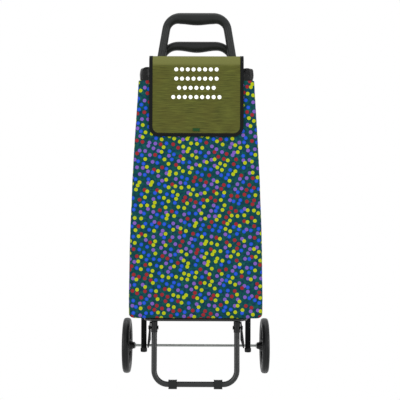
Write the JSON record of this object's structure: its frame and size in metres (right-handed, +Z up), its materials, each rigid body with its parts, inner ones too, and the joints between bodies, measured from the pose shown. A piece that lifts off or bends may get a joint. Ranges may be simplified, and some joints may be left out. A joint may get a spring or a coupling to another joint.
{
  "type": "two-wheeled shopping trolley",
  "caption": "Folding two-wheeled shopping trolley: black tube frame with pull and lift handles, spoked wheels, a front leg and a dotted fabric bag with a canvas flap.",
  "frame": {"origin": "on the floor, in the middle of the trolley's outline", "axes": "+Z up; -Y is the side that the bag's front and flap face; the wheels and handles are towards +Y; the wheel axle lies along X"},
  "size_m": [0.404, 0.3078, 0.986],
  "materials": {
    "coated_steel": "semi-gloss black powder coat",
    "bare_steel": "zinc-plated steel",
    "black_plastic": "satin moulded plastic",
    "handle_plastic": "fine-grained moulded plastic",
    "foot_rubber": "soft rubber",
    "tyre_rubber": "solid foam rubber tread",
    "printed_polyester": "plain-woven polyester with printed dots",
    "black_nylon": "thin nylon with a slight sheen",
    "olive_canvas": "ribbed woven canvas",
    "binding_tape": "grosgrain tape",
    "green_tab": "woven tab",
    "webbing": "polypropylene webbing",
    "hook_and_loop": "hook-and-loop tape",
    "board": "extruded board"
  },
  "bodies": {
    "frame": {"main_tube_left": "coated_steel", "main_tube_right": "coated_steel", "lower_crossbar": "coated_steel", "upper_crossbar": "coated_steel", "hanger_bar": "coated_steel", "tube_end_cap_left": "black_plastic", "tube_end_cap_right": "black_plastic", "axle": "bare_steel", "axle_washers": "bare_steel", "axle_caps": "bare_steel", "hinge_bracket_left": "coated_steel", "hinge_bracket_right": "coated_steel", "hinge_bolts": "bare_steel", "pull_handle": "handle_plastic", "lift_handle": "handle_plastic", "handle_screws": "bare_steel", "bag_front_panel": "printed_polyester", "bag_back_panel": "printed_polyester", "bag_side_left": "printed_polyester", "bag_side_right": "printed_polyester", "bag_bottom_panel": "black_nylon", "bag_collar": "black_nylon", "hanging_straps": "webbing", "lower_straps": "webbing", "strap_snaps": "bare_steel", "closure_loop_patch": "hook_and_loop"},
    "flap": {"flap_panel": "olive_canvas", "flap_binding": "binding_tape", "flap_tab": "green_tab", "closure_hook_patch": "hook_and_loop"},
    "base": {"platform_rim": "coated_steel", "platform_rungs": "coated_steel", "strut_left": "coated_steel", "strut_right": "coated_steel", "stop_pins": "coated_steel", "leg_pivot_bolts": "coated_steel", "base_board": "board"},
    "leg": {"front_leg": "coated_steel", "leg_knuckles": "black_plastic", "foot_sleeve_left": "foot_rubber", "foot_sleeve_right": "foot_rubber"},
    "wheel_left": {"tyre_left": "tyre_rubber", "rim_left": "black_plastic"},
    "wheel_right": {"tyre_right": "tyre_rubber", "rim_right": "black_plastic"}
  },
  "joints": [
    {"name": "wheel_left_spin", "type": "hinge", "parent": "frame", "child": "wheel_left", "pos_m": [-0.188, 0.079, 0.075], "axis": [1, 0, 0], "continuous": true},
    {"name": "wheel_right_spin", "type": "hinge", "parent": "frame", "child": "wheel_right", "pos_m": [0.188, 0.079, 0.075], "axis": [1, 0, 0], "continuous": true},
    {"name": "flap_open", "type": "hinge", "parent": "frame", "child": "flap", "pos_m": [0, 0.0665, 0.834], "axis": [-1, 0, 0], "range_deg": [0, 85]},
    {"name": "base_fold", "type": "hinge", "parent": "frame", "child": "base", "pos_m": [0, 0.027, 0.166], "axis": [-1, 0, 0], "range_deg": [0, 90], "deforming": ["bag_front_panel", "bag_side_left", "bag_side_right", "bag_bottom_panel", "bag_collar", "closure_loop_patch"]},
    {"name": "leg_fold", "type": "hinge", "parent": "base", "child": "leg", "pos_m": [0, -0.129, 0.152], "axis": [1, 0, 0], "range_deg": [0, 90]}
  ]
}
